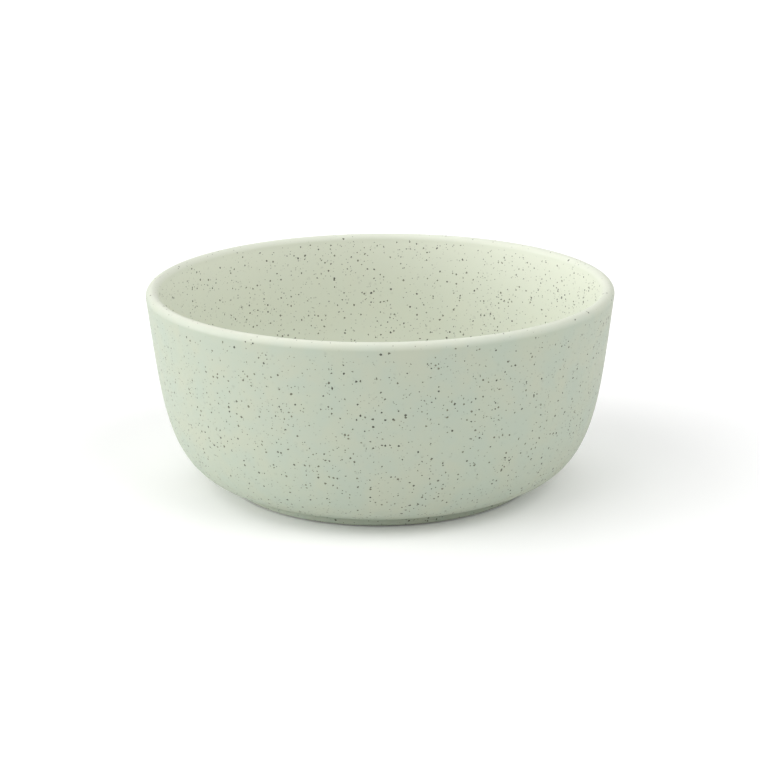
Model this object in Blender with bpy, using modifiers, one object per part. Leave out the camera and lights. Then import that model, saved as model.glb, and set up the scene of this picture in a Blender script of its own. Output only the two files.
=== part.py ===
"""A wide round stoneware bowl: a thrown clay body on a low foot ring, glazed inside, outside and underneath.

The bowl stands on the plane z = 0 with its axis on Z. Every piece is turned about that axis. The outside face
is a leaning wall that rounds under in one sweep to the foot ring, and the inside face follows it a wall's
thickness away. The clay lies one glaze thickness and one clearance behind the glaze.
"""

import math

import bpy
import numpy as np

# Driving dimensions, in metres and radians
RIM_DIAMETER = 0.152
HEIGHT = 0.0657
WALL = 0.0042
WALL_LEAN = math.radians(6.2)
FOOT_DIAMETER = 0.1028
FOOT_WIDTH = 0.0055
FOOT_CHAMFER = 0.0006
FOOT_FILLET = 0.0020
UNDERSIDE = 0.0023
RECESS_DEPTH = 0.0026
FLOOR_TOP = 0.0076
GLAZE = 0.0004
CLEARANCE = 0.0003
BARE_EDGE = 0.0009
BARE_MARGIN = 0.0012

# The sweep between wall and floor is part of a superellipse, outside and inside
OUTSIDE_SWEEP = {"centre_radius": 0.0407, "centre_height": 0.0594, "power": 4.1}
INSIDE_SWEEP = {"centre_radius": 0.0380, "centre_height": 0.0575, "power": 3.6}

# Fineness of the turned meshes
STEPS = 48
SWEEP_SAMPLES = 400
SWEEP_POINTS = 12
LIP_POINTS = 9
FILLET_POINTS = 5

LIP_RADIUS = WALL / 2
LIP_CENTRE = (RIM_DIAMETER / 2 - LIP_RADIUS, HEIGHT - LIP_RADIUS)
FOOT_RADIUS = FOOT_DIAMETER / 2
FOOT_INSIDE_RADIUS = FOOT_RADIUS - FOOT_WIDTH
MERGE_DISTANCE = 0.00001


def wall_radius(height, reach):
    """Radius of a wall face at a height. reach is its distance from the wall's middle, positive outwards."""
    return LIP_CENTRE[0] + reach / math.cos(WALL_LEAN) + math.tan(WALL_LEAN) * (height - LIP_CENTRE[1])


def sweep_point(angle, sweep, reach, low):
    """Point of a sweep that turns from flat at height low, angle 0, to the leaning wall, angle 90 degrees."""
    centre_radius, centre_height = sweep["centre_radius"], sweep["centre_height"]
    across = wall_radius(centre_height, reach) - centre_radius
    down = centre_height - low
    height = centre_height - down * max(math.cos(angle), 0.0) ** (2 / sweep["power"])
    radius = centre_radius + across * math.sin(angle) ** (2 / sweep["power"])
    return radius - math.tan(WALL_LEAN) * (centre_height - height), height


def outside_face(inset):
    """Outer face from below the lip, down and under, to where the foot ring's fillet begins."""
    reach = LIP_RADIUS - inset
    low = UNDERSIDE + inset
    samples = np.linspace(0, math.pi / 2, SWEEP_SAMPLES)
    radii = [sweep_point(angle, OUTSIDE_SWEEP, reach, low)[0] for angle in samples]
    last = np.interp(FOOT_RADIUS - inset + FOOT_FILLET, radii, samples)
    angles = np.linspace(math.pi / 2, last, SWEEP_POINTS)
    return [sweep_point(angle, OUTSIDE_SWEEP, reach, low) for angle in angles]


def foot_side(inset, top, bottom):
    """Fillet under the outer face and the foot ring's outer side, from height top down to height bottom."""
    radius = FOOT_RADIUS - inset
    turn = np.linspace(0, math.pi / 2, FILLET_POINTS)[1:]
    fillet = [
        (radius + FOOT_FILLET * (1 - math.sin(angle)), top - FOOT_FILLET * (1 - math.cos(angle)))
        for angle in turn
    ]
    return fillet + [(radius, bottom)]


def inside_face(inset):
    """Inner face from the middle of the floor out and up to below the lip, set back by inset."""
    reach = inset - LIP_RADIUS
    low = FLOOR_TOP - inset
    angles = np.linspace(0, math.pi / 2, SWEEP_POINTS)
    return [(0.0, low)] + [sweep_point(angle, INSIDE_SWEEP, reach, low) for angle in angles]


def lip(inset):
    """Round lip from the inner face over to the outer face."""
    radius = LIP_RADIUS - inset
    return [
        (LIP_CENTRE[0] + radius * math.cos(angle), LIP_CENTRE[1] + radius * math.sin(angle))
        for angle in np.linspace(math.pi - WALL_LEAN, -WALL_LEAN, LIP_POINTS)
    ]


def glazed_face(inset, bottom):
    """The whole face that takes the glaze, from the floor's middle over the lip and down the foot's side."""
    outside = outside_face(inset)
    return inside_face(inset) + lip(inset) + outside + foot_side(inset, outside[-1][1], bottom)


def standing_ring(outer_radius):
    """Flat ring that the bowl stands on and the recess inside it, from the outer edge in to the axis."""
    return [
        (outer_radius - FOOT_CHAMFER, 0.0),
        (FOOT_INSIDE_RADIUS + FOOT_CHAMFER, 0.0),
        (FOOT_INSIDE_RADIUS, FOOT_CHAMFER),
        (FOOT_INSIDE_RADIUS, RECESS_DEPTH),
        (0.0, RECESS_DEPTH),
    ]


def finish(name, colour, roughness):
    """A Principled BSDF material with one colour."""
    material = bpy.data.materials.new(name)
    material.use_nodes = True
    shader = material.node_tree.nodes["Principled BSDF"]
    shader.inputs["Base Color"].default_value = (*colour, 1.0)
    shader.inputs["Roughness"].default_value = roughness
    shader.inputs["Metallic"].default_value = 0.0
    return material


def turned(name, outline, material, collection):
    """A piece turned about Z from an outline of (radius, height) points, with a Screw modifier.

    The outline starts and ends on the axis, or closes on itself, and runs down the piece's outer side.
    """
    edges = [(index, index + 1) for index in range(len(outline) - 1)]
    mesh = bpy.data.meshes.new(name)
    mesh.from_pydata([(radius, 0.0, height) for radius, height in outline], edges, [])
    mesh.materials.append(material)
    piece = bpy.data.objects.new(name, mesh)
    collection.objects.link(piece)
    screw = piece.modifiers.new("turn", "SCREW")
    screw.axis = "Z"
    screw.angle = 2 * math.pi
    screw.steps = STEPS
    screw.render_steps = STEPS
    screw.use_merge_vertices = True
    screw.merge_threshold = MERGE_DISTANCE
    screw.use_smooth_shade = True
    return piece


def make_stoneware_body(collection):
    """Thrown clay wall and floor with the foot ring: everything under the glaze."""
    clay = finish("bare_stoneware", (0.50, 0.42, 0.31), 0.85)
    inset = GLAZE + CLEARANCE
    outline = glazed_face(inset, FOOT_CHAMFER) + standing_ring(FOOT_RADIUS - inset)
    return turned("stoneware_body", outline, clay, collection)


def make_glaze_coat(collection):
    """One continuous skin of glaze: floor, inner wall, lip, outer wall and the foot ring's side."""
    glaze = finish("speckled_glaze", (0.52, 0.57, 0.43), 0.45)
    shown = glazed_face(0.0, BARE_EDGE)
    hidden = glazed_face(GLAZE, BARE_EDGE)
    return turned("glaze_coat", shown + hidden[::-1], glaze, collection)


def make_base_glaze(collection):
    """Thin disc of glaze on the roof of the recess inside the foot ring."""
    glaze = finish("base_glaze", (0.52, 0.57, 0.43), 0.45)
    top = RECESS_DEPTH - CLEARANCE
    edge = FOOT_INSIDE_RADIUS - BARE_MARGIN
    outline = [(0.0, top), (edge, top), (edge - GLAZE, top - GLAZE), (0.0, top - GLAZE)]
    return turned("base_glaze", outline, glaze, collection)


def clear_scene():
    """Remove whatever the scene holds."""
    for thing in list(bpy.data.objects):
        bpy.data.objects.remove(thing, do_unlink=True)


def main():
    """Build the bowl's pieces in one collection, under one empty at its resting point."""
    clear_scene()
    collection = bpy.data.collections.new("yarn_bowl")
    bpy.context.scene.collection.children.link(collection)
    stand = bpy.data.objects.new("bowl_origin", None)
    collection.objects.link(stand)
    for make in (make_stoneware_body, make_glaze_coat, make_base_glaze):
        make(collection).parent = stand


main()
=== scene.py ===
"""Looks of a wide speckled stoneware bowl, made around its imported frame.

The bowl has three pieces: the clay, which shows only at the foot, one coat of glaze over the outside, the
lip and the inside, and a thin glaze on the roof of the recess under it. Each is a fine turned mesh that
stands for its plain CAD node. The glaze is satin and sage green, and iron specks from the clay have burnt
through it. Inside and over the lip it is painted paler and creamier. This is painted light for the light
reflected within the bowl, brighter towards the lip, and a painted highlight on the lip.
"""

from __future__ import annotations

import logging
import math
from dataclasses import dataclass, field
from enum import Enum
from typing import Any, Callable

import bmesh
import bpy
import numpy as np
from mathutils import Matrix, Vector


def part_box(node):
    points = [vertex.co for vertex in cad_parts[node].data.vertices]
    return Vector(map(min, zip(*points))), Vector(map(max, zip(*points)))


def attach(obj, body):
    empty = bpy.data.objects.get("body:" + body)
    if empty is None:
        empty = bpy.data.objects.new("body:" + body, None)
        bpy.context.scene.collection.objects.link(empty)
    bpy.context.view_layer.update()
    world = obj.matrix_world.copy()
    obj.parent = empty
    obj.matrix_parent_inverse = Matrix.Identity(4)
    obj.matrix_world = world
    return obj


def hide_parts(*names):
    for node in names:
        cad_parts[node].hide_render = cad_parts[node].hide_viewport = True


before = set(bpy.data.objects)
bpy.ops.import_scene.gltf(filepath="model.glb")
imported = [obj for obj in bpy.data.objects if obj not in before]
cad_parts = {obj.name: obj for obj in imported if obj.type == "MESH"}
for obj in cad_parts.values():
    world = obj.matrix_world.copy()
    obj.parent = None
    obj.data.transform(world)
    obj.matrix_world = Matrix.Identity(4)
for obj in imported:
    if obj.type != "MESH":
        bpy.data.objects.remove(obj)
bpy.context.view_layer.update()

LOG = logging.getLogger("bowl")
BODY = "root"
# Mesh mark for painted light: how much of the paler, lit colour shows inside the bowl and on the lip.
PAINTED_LIGHT_MARK = "inside"
LIP_MARK = "lip"
MERGE_DISTANCE = 1e-7

Colour = tuple[float, float, float]
Point = tuple[float, float]
Range = tuple[float, float]
Socket = bpy.types.NodeSocket


class Node(Enum):
    """The CAD nodes that the bowl's pieces stand for."""

    CLAY = "stoneware_body"
    COAT = "glaze_coat"
    BASE = "base_glaze"


class Slot(Enum):
    """The record's material slots."""

    CLAY = "bare_stoneware"
    COAT = "speckled_glaze"
    BASE = "base_glaze"


class Graph:
    """A node tree, with short calls for the nodes that the finishes are made of."""

    def __init__(self, tree: bpy.types.NodeTree) -> None:
        """Take the tree to build in."""
        self.tree = tree

    def feed(self, socket: Socket, value: Any) -> None:
        """Give an input socket its value, or link it to an output socket.

        Args:
            socket: The input to feed.
            value: A number, vector or colour, or the output to link from.
        """
        if isinstance(value, bpy.types.NodeSocket):
            self.tree.links.new(value, socket)
        else:
            socket.default_value = value

    def add(self, kind: str, inputs: dict[Any, Any] | None = None, **settings: Any) -> bpy.types.Node:
        """Add one node.

        Args:
            kind: The node's type, without the ShaderNode in front.
            inputs: Values or links for its inputs, by name or number.
            settings: The node's own properties.

        Returns:
            The new node.
        """
        node = self.tree.nodes.new("ShaderNode" + kind)
        for name, value in settings.items():
            setattr(node, name, value)
        for key, value in (inputs or {}).items():
            self.feed(node.inputs[key], value)
        return node

    def math(self, operation: str, *values: Any, clamp: bool = False) -> Socket:
        """Result of one Math node."""
        node = self.add("Math", dict(enumerate(values)), operation=operation, use_clamp=clamp)
        return node.outputs[0]

    def vector(self, operation: str, first: Any, second: Any) -> Socket:
        """Vector result of one Vector Math node. second is a factor where the operation is SCALE."""
        key = "Scale" if operation == "SCALE" else 1
        return self.add("VectorMath", {0: first, key: second}, operation=operation).outputs[0]

    def ramp(self, value: Any, low: Any, high: Any, to_low: Any = 0.0, to_high: Any = 1.0) -> Socket:
        """Smooth step of a value from one range to another.

        Args:
            value: What is read.
            low: Where it gives to_low.
            high: Where it gives to_high.
            to_low: Result at low and before it.
            to_high: Result at high and past it.

        Returns:
            The result's socket.
        """
        inputs = {"Value": value, "From Min": low, "From Max": high, "To Min": to_low, "To Max": to_high}
        return self.add("MapRange", inputs, interpolation_type="SMOOTHSTEP").outputs["Result"]

    def mix(self, factor: Any, first: Any, second: Any, blend: str = "MIX") -> Socket:
        """Mix two colours.

        Args:
            factor: How much of the second colour, from 0 to 1.
            first: A colour as three numbers, or a link.
            second: The same.
            blend: The Mix node's blend type.

        Returns:
            The mixed colour's socket.
        """
        node = self.add("Mix", data_type="RGBA", blend_type=blend)
        sockets = {socket.identifier: socket for socket in node.inputs}
        self.feed(sockets["Factor_Float"], factor)
        for name, colour in (("A_Color", first), ("B_Color", second)):
            self.feed(sockets[name], (*colour, 1.0) if isinstance(colour, tuple) else colour)
        return {socket.identifier: socket for socket in node.outputs}["Result_Color"]

    def noise(self, place: Any, scale: float, detail: float = 2.0, roughness: float = 0.5) -> Socket:
        """Value of a noise texture, about 0 to 1, with scale features to the metre."""
        inputs = {"Vector": place, "Scale": scale, "Detail": detail, "Roughness": roughness}
        return self.add("TexNoise", inputs).outputs["Fac"]


class Effects:
    """The node groups that several finishes share. Each is built once, when it is first asked for."""

    EDGE_NOISE_SCALE = 0.55  # features of a speck's ragged edge to one radius
    EDGE_NOISE_REACH = 4.0  # how far full raggedness moves the edge, in radii
    SPECK_SIZES = (0.45, 1.25)  # smallest and largest speck, in radii
    CLUMP_RANGE = (0.38, 0.62)  # noise values over which specks go from sparse to full
    MOTTLE_RANGE = (0.28, 0.72)  # noise values that give 0 and 1

    def __init__(self) -> None:
        """Start with no group built."""
        self.groups: dict[str, bpy.types.NodeTree] = {}

    def group(self, name: str, build: Callable[[], bpy.types.NodeTree]) -> bpy.types.NodeTree:
        """Give a group by name, building it on the first call.

        Args:
            name: The group's name.
            build: Makes the group.

        Returns:
            The group.
        """
        if name not in self.groups:
            self.groups[name] = build()
        return self.groups[name]

    @staticmethod
    def _interface(
        name: str, inputs: dict[str, float | None], outputs: tuple[str, ...]
    ) -> bpy.types.NodeTree:
        """Make an empty group with its sockets.

        Args:
            name: The group's name.
            inputs: Each input's first value, or None for a vector.
            outputs: The names of its number outputs.

        Returns:
            The group, with its input and output nodes.
        """
        tree = bpy.data.node_groups.new(name, "ShaderNodeTree")
        for socket_name, value in inputs.items():
            kind = "NodeSocketVector" if value is None else "NodeSocketFloat"
            socket = tree.interface.new_socket(socket_name, in_out="INPUT", socket_type=kind)
            if value is not None:
                socket.default_value = value
        for socket_name in outputs:
            tree.interface.new_socket(socket_name, in_out="OUTPUT", socket_type="NodeSocketFloat")
        tree.nodes.new("NodeGroupInput")
        tree.nodes.new("NodeGroupOutput")
        return tree

    def specks(self) -> bpy.types.NodeTree:
        """Specks scattered through the material, one at most to each cell of a random lattice."""
        return self.group("iron_specks", self._build_specks)

    def _build_specks(self) -> bpy.types.NodeTree:
        """Build the specks group.

        Returns:
            A group whose Mask is 1 in a speck, and whose Tone is a number from 0 to 1 for each speck.
        """
        inputs = {
            "Place": None,
            "Cell": 0.003,
            "Share": 0.5,
            "Radius": 0.0004,
            "Raggedness": 0.5,
            "Softness": 0.4,
            "Clumping": 0.5,
            "Clump Size": 0.005,
        }
        tree = self._interface("iron_specks", inputs, ("Mask", "Tone"))
        graph = Graph(tree)
        given = tree.nodes["Group Input"].outputs
        result = tree.nodes["Group Output"].inputs
        ragged_scale = graph.math("DIVIDE", self.EDGE_NOISE_SCALE, given["Radius"])
        wobble = graph.add("TexNoise", {"Vector": given["Place"], "Scale": ragged_scale, "Detail": 1.5})
        centred = graph.vector("SUBTRACT", wobble.outputs["Color"], (0.5, 0.5, 0.5))
        reach = graph.math("MULTIPLY", given["Raggedness"], given["Radius"])
        reach = graph.math("MULTIPLY", reach, self.EDGE_NOISE_REACH)
        moved = graph.vector("ADD", given["Place"], graph.vector("SCALE", centred, reach))
        per_cell = graph.vector("SCALE", moved, graph.math("DIVIDE", 1.0, given["Cell"]))
        cells = graph.add("TexVoronoi", {"Vector": per_cell, "Scale": 1.0, "Randomness": 1.0})
        draws = graph.add("SeparateColor", {"Color": cells.outputs["Color"]}).outputs
        size = graph.ramp(draws["Green"], 0.0, 1.0, *self.SPECK_SIZES)
        radius = graph.math("MULTIPLY", given["Radius"], size)
        distance = graph.math("MULTIPLY", cells.outputs["Distance"], given["Cell"])
        inner = graph.math("MULTIPLY", radius, graph.math("SUBTRACT", 1.0, given["Softness"]))
        inside = graph.ramp(distance, radius, inner)
        crowd = graph.noise(given["Place"], graph.math("DIVIDE", 1.0, given["Clump Size"]), detail=1.0)
        least = graph.math("SUBTRACT", 1.0, given["Clumping"])
        crowding = graph.ramp(crowd, *self.CLUMP_RANGE, least, 1.0)
        share = graph.math("MULTIPLY", given["Share"], crowding)
        chosen = graph.math("LESS_THAN", draws["Red"], share)
        graph.feed(result["Mask"], graph.math("MULTIPLY", inside, chosen))
        graph.feed(result["Tone"], draws["Blue"])
        return tree

    def mottle(self) -> bpy.types.NodeTree:
        """Cloudy variation at three scales, for colour, gloss and relief."""
        return self.group("glaze_mottle", self._build_mottle)

    def _build_mottle(self) -> bpy.types.NodeTree:
        """Build the mottle group.

        Returns:
            A group with Cloud, the broadest, Tint, between the two, and Grain, fine, all from 0 to 1.
        """
        inputs = {"Place": None, "Cloud Size": 0.02, "Tint Size": 0.008, "Grain Size": 0.0012}
        names = ("Cloud", "Tint", "Grain")
        tree = self._interface("glaze_mottle", inputs, names)
        graph = Graph(tree)
        given = tree.nodes["Group Input"].outputs
        result = tree.nodes["Group Output"].inputs
        for name in names:
            scale = graph.math("DIVIDE", 1.0, given[name + " Size"])
            noise = graph.noise(given["Place"], scale, detail=3.0)
            graph.feed(result[name], graph.ramp(noise, *self.MOTTLE_RANGE))
        return tree


@dataclass(frozen=True)
class SpeckLayer:
    """One size of speck. Lengths are in metres.

    A cell of the lattice holds one speck at most. share is the part of the cells that can hold one, and
    strength is how much of the speck's colour shows.
    """

    cell: float
    radius: float
    share: float
    strength: float
    raggedness: float = 0.5
    softness: float = 0.5


@dataclass(frozen=True)
class GlazeFinish:
    """Satin sage glaze with iron specks burnt through it.

    Tint and cloud are its two slow changes of colour. The mesh's marks say where the paler colour of painted
    light shows, inside and over the lip, and where the lip is, on which fewer specks have come through.
    """

    name: str
    colour: Colour = (0.466, 0.514, 0.406)
    cloud_colour: Colour = (0.484, 0.516, 0.404)
    tint_colour: Colour = (0.430, 0.504, 0.424)
    # Painted light: the paler colour inside and on the lip, for light reflected within the bowl and a lip
    # highlight.
    painted_inside_light_colour: Colour = (0.757, 0.782, 0.670)
    speck_colour: Colour = (0.035, 0.036, 0.026)
    faint_colour: Colour = (0.180, 0.185, 0.125)
    tint_amount: float = 0.6
    roughness: Range = (0.45, 0.56)
    lip_range: Range = (0.2, 0.9)
    lip_share: float = 0.25
    grain_height: float = 0.3
    bump_strength: float = 0.25
    bump_distance: float = 0.00004
    refraction: float = 1.5
    layers: tuple[SpeckLayer, ...] = (
        SpeckLayer(cell=0.0012, radius=0.00030, share=0.50, strength=0.98, softness=0.10),
        SpeckLayer(cell=0.0009, radius=0.00020, share=0.62, strength=0.80),
        SpeckLayer(cell=0.0020, radius=0.00060, share=0.65, strength=0.15, softness=0.9),
    )

    def material(self, effects: Effects) -> bpy.types.Material:
        """Build the glaze's material.

        Args:
            effects: The shared node groups.

        Returns:
            The new material.
        """
        material = bpy.data.materials.new(self.name)
        material.use_nodes = True
        graph = Graph(material.node_tree)
        shader = material.node_tree.nodes["Principled BSDF"]
        place = graph.add("TexCoord").outputs["Object"]
        mottle = graph.add("Group", node_tree=effects.mottle())
        graph.feed(mottle.inputs["Place"], place)
        # Painted light: the inside mark mixes the colour towards a paler one, for reflected light inside and
        # a lip highlight.
        inside = graph.add("Attribute", attribute_name=PAINTED_LIGHT_MARK).outputs["Fac"]
        lip = graph.add("Attribute", attribute_name=LIP_MARK).outputs["Fac"]
        colour = graph.mix(mottle.outputs["Cloud"], self.colour, self.cloud_colour)
        tint = graph.math("MULTIPLY", mottle.outputs["Tint"], self.tint_amount)
        colour = graph.mix(tint, colour, self.tint_colour)
        colour = graph.mix(inside, colour, self.painted_inside_light_colour)
        kept = graph.ramp(lip, *self.lip_range, 1.0, self.lip_share)
        covered: Any = 0.0
        for layer in self.layers:
            specks = graph.add("Group", node_tree=effects.specks())
            share = graph.math("MULTIPLY", kept, layer.share)
            values = {"Place": place, "Cell": layer.cell, "Share": share, "Radius": layer.radius}
            values.update({"Raggedness": layer.raggedness, "Softness": layer.softness})
            for key, value in values.items():
                graph.feed(specks.inputs[key], value)
            tone = graph.mix(specks.outputs["Tone"], self.speck_colour, self.faint_colour)
            amount = graph.math("MULTIPLY", specks.outputs["Mask"], layer.strength)
            colour = graph.mix(amount, colour, tone)
            covered = graph.math("MAXIMUM", covered, amount)
        graph.feed(shader.inputs["Base Color"], colour)
        grain = mottle.outputs["Grain"]
        graph.feed(shader.inputs["Roughness"], graph.ramp(grain, 0.0, 1.0, *self.roughness))
        height = graph.math("SUBTRACT", graph.math("MULTIPLY", grain, self.grain_height), covered)
        relief = {"Height": height, "Strength": self.bump_strength, "Distance": self.bump_distance}
        graph.feed(shader.inputs["Normal"], graph.add("Bump", relief).outputs["Normal"])
        shader.inputs["IOR"].default_value = self.refraction
        return material


@dataclass(frozen=True)
class ClayFinish:
    """Bare fired stoneware, gritty and dull, with specks of grog. Its dark grey-brown is partly the clay's
    own and partly painted shade for the contact shadow where the foot meets the floor.
    """

    name: str = "bare_stoneware"
    # Painted shade: this dark colour is partly the clay's own and partly stands for the contact shadow at
    # the foot.
    colour: Colour = (0.140, 0.120, 0.092)
    dark_colour: Colour = (0.085, 0.072, 0.055)
    grog_colour: Colour = (0.045, 0.035, 0.025)
    cloud_size: float = 0.012
    cloud_amount: float = 0.45
    grain_size: float = 0.0005
    grain_amount: float = 0.25
    grog_cell: float = 0.0016
    grog_radius: float = 0.0003
    grog_share: float = 0.5
    grog_amount: float = 0.7
    roughness: Range = (0.80, 0.95)
    bump_strength: float = 0.5
    bump_distance: float = 0.00008

    def material(self, effects: Effects) -> bpy.types.Material:
        """Build the clay's material.

        Args:
            effects: The shared node groups.

        Returns:
            The new material.
        """
        material = bpy.data.materials.new(self.name)
        material.use_nodes = True
        graph = Graph(material.node_tree)
        shader = material.node_tree.nodes["Principled BSDF"]
        place = graph.add("TexCoord").outputs["Object"]
        sizes = {"Cloud Size": self.cloud_size, "Grain Size": self.grain_size}
        mottle = graph.add("Group", sizes, node_tree=effects.mottle())
        graph.feed(mottle.inputs["Place"], place)
        lattice = {"Cell": self.grog_cell, "Radius": self.grog_radius, "Share": self.grog_share}
        grog = graph.add("Group", lattice, node_tree=effects.specks())
        graph.feed(grog.inputs["Place"], place)
        grain = mottle.outputs["Grain"]
        colour: Any = self.colour
        for mask, amount, shade in (
            (mottle.outputs["Cloud"], self.cloud_amount, self.dark_colour),
            (grain, self.grain_amount, self.dark_colour),
            (grog.outputs["Mask"], self.grog_amount, self.grog_colour),
        ):
            colour = graph.mix(graph.math("MULTIPLY", mask, amount), colour, shade)
        graph.feed(shader.inputs["Base Color"], colour)
        graph.feed(shader.inputs["Roughness"], graph.ramp(grain, 0.0, 1.0, *self.roughness))
        relief = {"Height": grain, "Strength": self.bump_strength, "Distance": self.bump_distance}
        graph.feed(shader.inputs["Normal"], graph.add("Bump", relief).outputs["Normal"])
        return material


@dataclass
class BowlSection:
    """The bowl's section, as the faces that are turned about its axis. Sizes are in metres."""

    rim_radius: float
    height: float
    wall: float = 0.0042
    lean: float = math.radians(6.2)
    foot_radius: float = 0.0514
    foot_width: float = 0.0055
    foot_round: float = 0.0011
    foot_fillet: float = 0.0020
    underside: float = 0.0023
    recess_depth: float = 0.0026
    floor_top: float = 0.0076
    glaze: float = 0.0004
    outside_centre: Point = (0.0407, 0.0594)
    outside_power: float = 4.1
    inside_centre: Point = (0.0380, 0.0575)
    inside_power: float = 3.6
    sweep_samples: int = 400
    sweep_points: int = 52
    lip_points: int = 23
    wall_spans: int = 5
    floor_points: int = 8
    fillet_points: int = 9
    corner_points: int = 9
    foot_inside_radius: float = field(init=False)
    lip_radius: float = field(init=False)
    lip_centre: Point = field(init=False)

    def __post_init__(self) -> None:
        """Work out the sizes that follow from the others."""
        self.foot_inside_radius = self.foot_radius - self.foot_width
        self.lip_radius = self.wall / 2
        self.lip_centre = (self.rim_radius - self.lip_radius, self.height - self.lip_radius)

    def wall_radius(self, height: float, reach: float) -> float:
        """Radius of a wall face at a height, reach from the wall's middle, positive outwards."""
        rise = height - self.lip_centre[1]
        return self.lip_centre[0] + reach / math.cos(self.lean) + math.tan(self.lean) * rise

    def sweep(self, angle: float, centre: Point, power: float, reach: float, low: float) -> Point:
        """Point of a sweep between the flat at height low, angle 0, and the wall, angle 90 degrees.

        Args:
            angle: Where on the sweep, in radians.
            centre: Radius and height that the sweep turns about.
            power: The superellipse's power. 2 is an ellipse, and more is squarer.
            reach: The wall face's distance from the wall's middle.
            low: Height of the flat.

        Returns:
            Radius and height.
        """
        across = self.wall_radius(centre[1], reach) - centre[0]
        height = centre[1] - (centre[1] - low) * max(math.cos(angle), 0.0) ** (2 / power)
        radius = centre[0] + across * max(math.sin(angle), 0.0) ** (2 / power)
        return radius - math.tan(self.lean) * (centre[1] - height), height

    def outside_point(self, angle: float, inset: float) -> Point:
        """Point of the outer sweep at an angle in radians, with the face set back by inset."""
        reach, low = self.lip_radius - inset, self.underside + inset
        return self.sweep(angle, self.outside_centre, self.outside_power, reach, low)

    def outside(self, inset: float, wrap: float) -> list[Point]:
        """Outer face from the top of its sweep, down and under, then down the foot ring's side.

        Args:
            inset: How far the face is set back into the thickness.
            wrap: How far it follows the foot's rounded bottom edge, in degrees.

        Returns:
            Points, top to bottom.
        """
        foot, fillet, corner = self.foot_radius - inset, self.foot_fillet, self.foot_round
        samples = np.linspace(0, math.pi / 2, self.sweep_samples)
        radii = [self.outside_point(angle, inset)[0] for angle in samples]
        last = np.interp(foot + fillet, radii, samples)
        angles = np.linspace(math.pi / 2, last, self.sweep_points)
        under = [self.outside_point(angle, inset) for angle in angles]
        middle = (foot + fillet, under[-1][1] - fillet)
        turn_down = self.arc(middle, fillet, 90, 180, self.fillet_points)[1:]
        return under + turn_down + self.arc((foot - corner, corner), corner, 0, -wrap, self.corner_points)

    def inside(self, inset: float) -> list[Point]:
        """Inner face from the middle of the floor out and up to the lip.

        Args:
            inset: How far the face is set back into the thickness.

        Returns:
            Points, from the axis to just under the lip.
        """
        reach = inset - self.lip_radius
        low = self.floor_top - inset
        angles = np.linspace(0, math.pi / 2, self.sweep_points)
        rise = [self.sweep(angle, self.inside_centre, self.inside_power, reach, low) for angle in angles]
        flat = [(radius, low) for radius in np.linspace(0, rise[0][0], self.floor_points)[:-1]]
        heights = np.linspace(rise[-1][1], self.lip_centre[1], self.wall_spans + 1)[1:-1]
        return flat + rise + [(self.wall_radius(height, reach), height) for height in heights]

    def lip(self, inset: float) -> list[Point]:
        """Round lip from the inner face over to the outer face, with the face set back by inset."""
        lean = math.degrees(self.lean)
        return self.arc(self.lip_centre, self.lip_radius - inset, 180 - lean, -lean, self.lip_points)

    def glazed(self, inset: float, wrap: float) -> list[Point]:
        """The whole face that takes the glaze, from the floor's middle over the lip and down to the foot."""
        return self.inside(inset) + self.lip(inset) + self.outside(inset, wrap)

    @staticmethod
    def arc(centre: Point, radius: float, start: float, end: float, count: int) -> list[Point]:
        """Points of an arc.

        Args:
            centre: Its centre.
            radius: Its radius.
            start: Angle of its first point, in degrees from the outward direction towards up.
            end: Angle of its last point.
            count: How many points.

        Returns:
            The points in order.
        """
        angles = np.radians(np.linspace(start, end, count))
        turns = [(math.cos(angle), math.sin(angle)) for angle in angles]
        return [(centre[0] + radius * across, centre[1] + radius * up) for across, up in turns]


def turned_mesh(
    name: str,
    outline: Callable[[float], list[Point]],
    steps: int,
    shift: Callable[[Vector], Vector],
    marks: dict[str, list[float]] | None = None,
) -> bpy.types.Object:
    """Turn an outline about Z into one closed mesh.

    Args:
        name: The piece's name.
        outline: Gives the outline at an angle, as (radius, height) points that start and end on the axis.
        steps: How many times the outline is placed round the axis.
        shift: Moves a finished point, to take the last perfection off the shape.
        marks: Values for the material to read, by name, one for each point of the outline.

    Returns:
        The new object.
    """
    mesh = bmesh.new()
    layers = {mark: mesh.verts.layers.float.new(mark) for mark in marks or {}}
    rings = []
    for step in range(steps):
        angle = 2 * math.pi * step / steps
        column = [
            mesh.verts.new(shift(Vector((radius * math.cos(angle), radius * math.sin(angle), height))))
            for radius, height in outline(angle)
        ]
        for mark, layer in layers.items():
            for vertex, value in zip(column, marks[mark]):
                vertex[layer] = value
        rings.append(column)
    for step, column in enumerate(rings):
        following = rings[(step + 1) % steps]
        for row in range(len(column) - 1):
            mesh.faces.new((column[row], following[row], following[row + 1], column[row + 1]))
    bmesh.ops.remove_doubles(mesh, verts=mesh.verts, dist=MERGE_DISTANCE)
    bmesh.ops.recalc_face_normals(mesh, faces=mesh.faces)
    data = bpy.data.meshes.new(name)
    mesh.to_mesh(data)
    mesh.free()
    data.shade_smooth()
    piece = bpy.data.objects.new(name, data)
    bpy.context.scene.collection.objects.link(piece)
    return piece


def settle(piece: bpy.types.Object, node: Node, slot: Slot, material: bpy.types.Material) -> None:
    """Put a piece in the frame in its CAD node's place, with its finish.

    Args:
        piece: The piece.
        node: The CAD node that it stands for.
        slot: The record's slot for its finish. Not used.
        material: Its material.
    """
    piece.data.materials.append(material)
    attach(piece, BODY)
    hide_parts(node.value)
    LOG.info("%s: %d faces, stands for %s", piece.name, len(piece.data.polygons), node.value)


@dataclass(frozen=True)
class Wave:
    """One part of an unevenness round the bowl: how many waves, their height and their start in radians."""

    count: int
    size: float
    start: float

    def at(self, angle: float) -> float:
        """Height of the wave at an angle."""
        return self.size * math.sin(self.count * angle + self.start)


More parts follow.
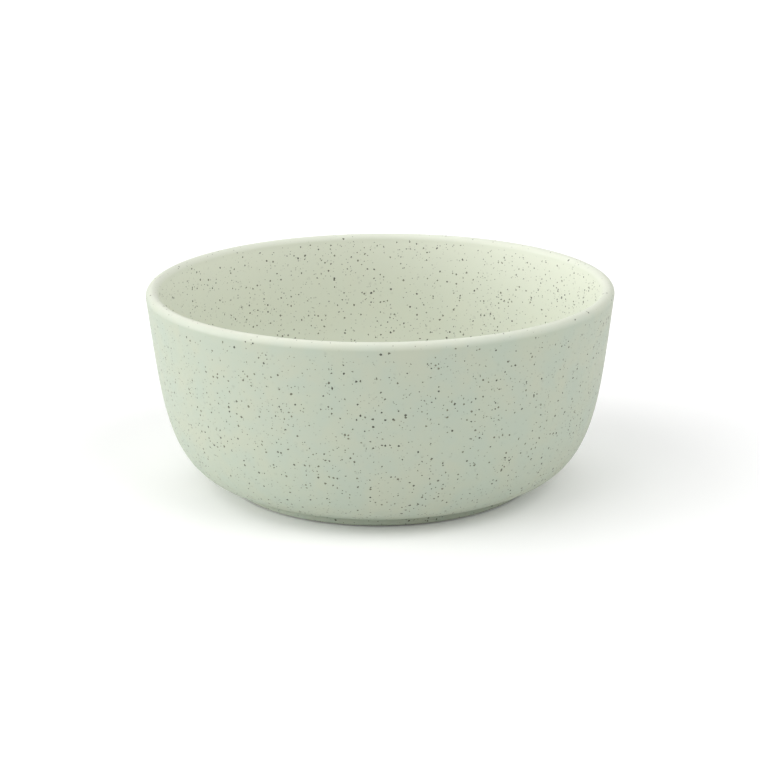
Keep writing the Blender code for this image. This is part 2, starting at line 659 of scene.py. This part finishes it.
@dataclass
class Bowl:
    """The whole bowl: clay body, glaze coat and base glaze, with the small wander of a hand-turned pot.

    wrap is how far the coat follows the foot's rounded bottom edge, in degrees. The inside's paler colour is
    painted light for light reflected within the bowl: it shows by painted_light_floor low down and fully
    near the lip, and by painted_lip_highlight on the lip itself, as a painted highlight, before it fades
    out.
    """

    section: BowlSection
    effects: Effects
    steps: int = 256
    bare_margin: float = 0.0012
    wrap: float = 26.0
    wrap_wander: float = 4.0
    edge_wander: float = 0.00015
    edge_waves: tuple[Wave, ...] = (Wave(5, 0.45, 0.0), Wave(11, 0.30, 0.0), Wave(23, 0.25, 0.0))
    coat_edge_turn: float = 1.3
    base_edge_turn: float = 4.1
    out_of_round: float = 0.00012
    lobes: tuple[Wave, ...] = (Wave(2, 1.0, 0.6), Wave(3, 0.5, 2.1))
    edge_points: int = 7
    disc_edge_points: int = 6
    disc_overlap: float = 0.0001
    # Painted light inside the bowl and a painted highlight on the lip: how much of the paler colour shows.
    painted_light_floor: float = 0.74
    painted_light_power: float = 6
    painted_lip_highlight: float = 0.85
    painted_lip_highlight_fade: float = 1.8

    def wander(self, angle: float) -> float:
        """Uneven line of a glaze edge round the foot, from -1 to 1."""
        return sum(wave.at(angle) for wave in self.edge_waves)

    def shift(self, point: Vector) -> Vector:
        """Draw a point of the wall slightly out of round. The foot stays flat and round.

        Args:
            point: The point of a perfectly round bowl.

        Returns:
            The moved point.
        """
        angle = math.atan2(point.y, point.x)
        rise = min(max(point.z / self.section.height, 0.0), 1.0)
        swell = self.out_of_round * rise * sum(lobe.at(angle) for lobe in self.lobes)
        radius = math.hypot(point.x, point.y)
        scale = 1 + swell / radius if radius > self.section.foot_radius else 1.0
        return Vector((point.x * scale, point.y * scale, point.z))

    def coat_outline(self, angle: float) -> list[Point]:
        """The coat's shown face, rounded edge and hidden face.

        Args:
            angle: Where round the bowl, in radians.

        Returns:
            Points from the axis to the foot and back.
        """
        section = self.section
        wrap = self.wrap + self.wrap_wander * self.wander(angle + self.coat_edge_turn)
        shown = section.glazed(0.0, wrap)
        hidden = section.glazed(section.glaze, wrap)
        middle = (shown[-1][0] - section.glaze / 2, shown[-1][1])
        edge = section.arc(middle, section.glaze / 2, 0, -180, self.edge_points)[1:-1]
        return shown + edge + hidden[::-1]

    def coat_marks(self) -> dict[str, list[float]]:
        """Values for the glaze's material at each point of the coat's outline.

        Returns:
            The inside's painted light, with the lip's painted highlight, and the lip, each from 0 to 1.
        """
        rises = [height / self.section.height for _, height in self.section.inside(0.0)]
        # Painted light on the inner wall, paler higher up and fully near the lip.
        wall = [self.painted_light_floor + (1 - self.painted_light_floor) * rise**self.painted_light_power for rise in rises]
        lip = len(self.section.lip(0.0))
        # Painted highlight over the lip, fading out towards the outer face.
        over = list(np.clip(np.linspace(self.painted_lip_highlight_fade, 0, lip), 0, self.painted_lip_highlight))
        rest = [0.0] * (len(self.coat_outline(0.0)) - len(wall) - lip)
        return {PAINTED_LIGHT_MARK: wall + over + rest, LIP_MARK: [0.0] * len(wall) + [1.0] * lip + rest}

    def coat(self) -> bpy.types.Object:
        """The glaze coat, a closed skin whose edge on the foot's side is rounded and slightly wavy."""
        return turned_mesh("glaze_coat_fine", self.coat_outline, self.steps, self.shift, self.coat_marks())

    def clay_outline(self, _: float) -> list[Point]:
        """The clay's face under the glaze, then the standing ring and the recess.

        Args:
            _: The angle, which changes nothing here.

        Returns:
            Points from the axis to the foot and back.
        """
        section = self.section
        corner, inner = section.foot_round, section.foot_inside_radius
        face = section.glazed(section.glaze, wrap=90)
        inner_round = section.arc((inner + corner, corner), corner, -90, -180, self.edge_points)
        recess = [(inner, section.recess_depth), (0.0, section.recess_depth)]
        return face + inner_round + recess

    def clay(self) -> bpy.types.Object:
        """The clay body, which shows in a thin line at the foot, its dark colour there partly painted
        contact shadow, and on the ring that it stands on.
        """
        return turned_mesh("stoneware_body_fine", self.clay_outline, self.steps, self.shift)

    def base_outline(self, angle: float) -> list[Point]:
        """Top, rounded edge and underside of the base glaze's disc.

        Args:
            angle: Where round the bowl, in radians.

        Returns:
            Points from the axis and back.
        """
        section = self.section
        round_off = section.glaze
        top, low = section.recess_depth + self.disc_overlap, section.recess_depth - round_off
        uneven = self.edge_wander * self.wander(angle + self.base_edge_turn)
        end = section.foot_inside_radius - self.bare_margin + uneven
        edge = section.arc((end - round_off, low + round_off), round_off, 0, -90, self.disc_edge_points)
        return [(0.0, top), (end, top)] + edge + [(0.0, low)]

    def base(self) -> bpy.types.Object:
        """The base glaze, a thin disc with a rounded, slightly wavy edge."""
        return turned_mesh("base_glaze_fine", self.base_outline, self.steps, self.shift)

    def build(self) -> None:
        """Make the three pieces and dress them."""
        coat_finish = GlazeFinish("speckled_glaze").material(self.effects)
        base_finish = GlazeFinish("base_glaze").material(self.effects)
        clay_finish = ClayFinish().material(self.effects)
        settle(self.clay(), Node.CLAY, Slot.CLAY, clay_finish)
        settle(self.coat(), Node.COAT, Slot.COAT, coat_finish)
        settle(self.base(), Node.BASE, Slot.BASE, base_finish)


@dataclass(frozen=True)
class Softbox:
    """A large far light. Angles are in degrees, and azimuth is measured from +X towards +Y."""

    name: str
    azimuth: float
    elevation: float
    strength: float
    spread: float = 40.0

    def make(self) -> None:
        """Hang the light. As a sun it lights the whole table evenly."""
        light = bpy.data.lights.new(self.name, "SUN")
        light.energy = self.strength
        light.angle = math.radians(self.spread)
        lamp = bpy.data.objects.new(self.name, light)
        turn, rise = math.radians(self.azimuth), math.radians(self.elevation)
        source = Vector((math.cos(rise) * math.cos(turn), math.cos(rise) * math.sin(turn), math.sin(rise)))
        lamp.rotation_mode = "QUATERNION"
        lamp.rotation_quaternion = source.to_track_quat("Z", "Y")
        bpy.context.scene.collection.objects.link(lamp)


@dataclass
class Studio:
    """White floor, soft lights, the strongest low on the left, and the camera."""

    section: BowlSection
    distance_in_radii: float = 8.0
    elevation: float = math.radians(16.7)
    roll: float = math.radians(-0.37)
    lens: float = 86.83
    sensor: float = 36.0
    shift_x: float = -0.00079
    shift_y: float = -0.00263
    floor_radius: float = 8.0
    floor_segments: int = 96
    floor_seen: Colour = (1.0, 1.0, 1.0)
    floor_bounce: Colour = (0.95, 0.95, 0.95)
    floor_lift: Colour = (0.045, 0.045, 0.045)
    world_strength: float = 0.455
    softboxes: tuple[Softbox, ...] = (
        Softbox("low_left", azimuth=182, elevation=9, strength=1.52),
        Softbox("high_left", azimuth=180, elevation=45, strength=0.41),
        Softbox("front_left", azimuth=218, elevation=25, strength=0.47),
        Softbox("high_front_left", azimuth=225, elevation=48, strength=0.40),
        Softbox("high_front_right", azimuth=325, elevation=45, strength=0.84),
        Softbox("low_right", azimuth=0, elevation=18, strength=0.36),
        Softbox("high_back", azimuth=90, elevation=60, strength=0.35),
        Softbox("back_left", azimuth=135, elevation=25, strength=0.17),
    )

    def floor(self) -> None:
        """A wide round white floor, which shows a little brighter than the light that it sends back."""
        mesh = bmesh.new()
        bmesh.ops.create_circle(mesh, cap_ends=True, segments=self.floor_segments, radius=self.floor_radius)
        data = bpy.data.meshes.new("studio_floor")
        mesh.to_mesh(data)
        mesh.free()
        floor = bpy.data.objects.new("studio_floor", data)
        bpy.context.scene.collection.objects.link(floor)
        material = bpy.data.materials.new("studio_white")
        material.use_nodes = True
        graph = Graph(material.node_tree)
        shader = material.node_tree.nodes["Principled BSDF"]
        seen = graph.add("LightPath").outputs["Is Camera Ray"]
        graph.feed(shader.inputs["Base Color"], graph.mix(seen, self.floor_bounce, self.floor_seen))
        graph.feed(shader.inputs["Emission Color"], graph.mix(seen, (0.0, 0.0, 0.0), self.floor_lift))
        shader.inputs["Emission Strength"].default_value = 1.0
        shader.inputs["Roughness"].default_value = 0.9
        shader.inputs["Specular IOR Level"].default_value = 0.0
        data.materials.append(material)

    def world(self) -> None:
        """Even white light from all round."""
        world = bpy.data.worlds.new("studio")
        world.use_nodes = True
        background = world.node_tree.nodes["Background"]
        background.inputs["Color"].default_value = (1.0, 1.0, 1.0, 1.0)
        background.inputs["Strength"].default_value = self.world_strength
        bpy.context.scene.world = world

    def camera(self) -> None:
        """The camera, which looks a little down at the bowl from the front."""
        data = bpy.data.cameras.new("camera")
        data.lens = self.lens
        data.sensor_width = self.sensor
        data.shift_x = self.shift_x
        data.shift_y = self.shift_y
        data.clip_start = 0.01
        camera = bpy.data.objects.new("camera", data)
        away = self.distance_in_radii * self.section.rim_radius
        target = Vector((0.0, 0.0, self.section.height / 2))
        offset = Vector((0.0, -math.cos(self.elevation), math.sin(self.elevation))) * away
        turn = offset.to_track_quat("Z", "Y").to_matrix().to_4x4() @ Matrix.Rotation(self.roll, 4, "Z")
        camera.matrix_world = Matrix.Translation(target + offset) @ turn
        bpy.context.scene.collection.objects.link(camera)
        bpy.context.scene.camera = camera

    def build(self) -> None:
        """Set the stage."""
        bpy.context.scene.view_settings.view_transform = "Standard"
        self.floor()
        self.world()
        for softbox in self.softboxes:
            softbox.make()
        self.camera()


def main() -> None:
    """Build the studio and the bowl."""
    logging.basicConfig(level=logging.INFO, format="%(name)s %(message)s")
    _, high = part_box(Node.COAT.value)
    section = BowlSection(rim_radius=high[0], height=high[2])
    Studio(section).build()
    Bowl(section, Effects()).build()


if __name__ == "__main__":
    main()
